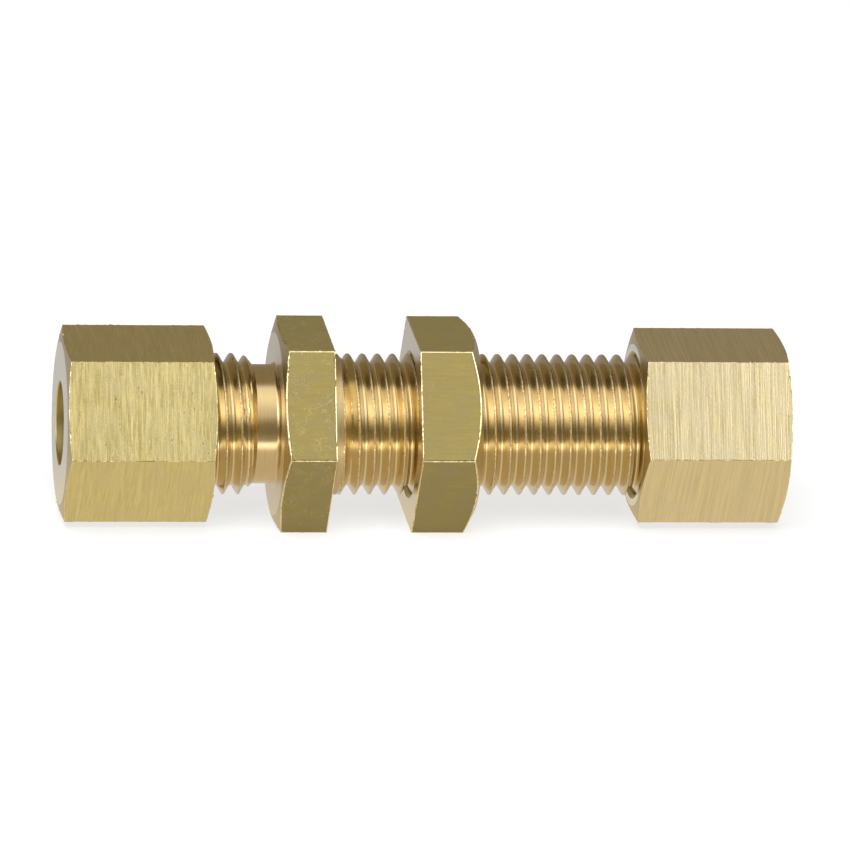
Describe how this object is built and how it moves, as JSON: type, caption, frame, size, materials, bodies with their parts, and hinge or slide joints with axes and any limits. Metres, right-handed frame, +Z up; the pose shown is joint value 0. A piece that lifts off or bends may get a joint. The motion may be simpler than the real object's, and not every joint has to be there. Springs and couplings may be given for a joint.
{
  "type": "straight bulkhead compression fitting",
  "caption": "Straight brass bulkhead compression fitting for a small tube at each end, with a hexagon collar, a lock nut on a long threaded stem and union nuts.",
  "frame": {"origin": "on the bore's axis, in the plane of the collar's clamping face, where the panel's hole is", "axes": "+X along the bore towards the long threaded stem, +Z up; a flat of the collar and of the lock nut faces down"},
  "size_m": [0.0719, 0.022, 0.019],
  "materials": {
    "body_brass": "turned and polished brass",
    "lock_nut_brass": "drawn brass flats with scuffs",
    "union_nut_brass": "milled brass flats with fine cross lines",
    "ring_brass": "plain turned brass"
  },
  "bodies": {
    "body": {"fitting_body": "body_brass"},
    "lock_nut": {"lock_nut": "lock_nut_brass"},
    "left_ring": {"left_cutting_ring": "ring_brass"},
    "left_nut": {"left_union_nut": "union_nut_brass"},
    "right_ring": {"right_cutting_ring": "ring_brass"},
    "right_nut": {"right_union_nut": "union_nut_brass"}
  },
  "joints": [
    {"name": "lock_nut_travel", "type": "slide", "parent": "body", "child": "lock_nut", "axis": [1, 0, 0], "range_m": [-0.0082, 0.0162]},
    {"name": "left_nut_travel", "type": "slide", "parent": "body", "child": "left_ring", "axis": [-1, 0, 0], "range_m": [0, 0.00525]},
    {"name": "left_nut_turn", "type": "hinge", "parent": "left_ring", "child": "left_nut", "pos_m": [0, 0, 0], "axis": [-1, 0, 0], "range_deg": [0, 1260]},
    {"name": "right_nut_travel", "type": "slide", "parent": "body", "child": "right_ring", "axis": [1, 0, 0], "range_m": [0, 0.00525]},
    {"name": "right_nut_turn", "type": "hinge", "parent": "right_ring", "child": "right_nut", "pos_m": [0, 0, 0], "axis": [1, 0, 0], "range_deg": [0, 1260]}
  ],
  "couplings": [
    {"joint": "left_nut_travel", "follows": "left_nut_turn", "m_per_rad": 0.00023873},
    {"joint": "right_nut_travel", "follows": "right_nut_turn", "m_per_rad": 0.00023873}
  ]
}
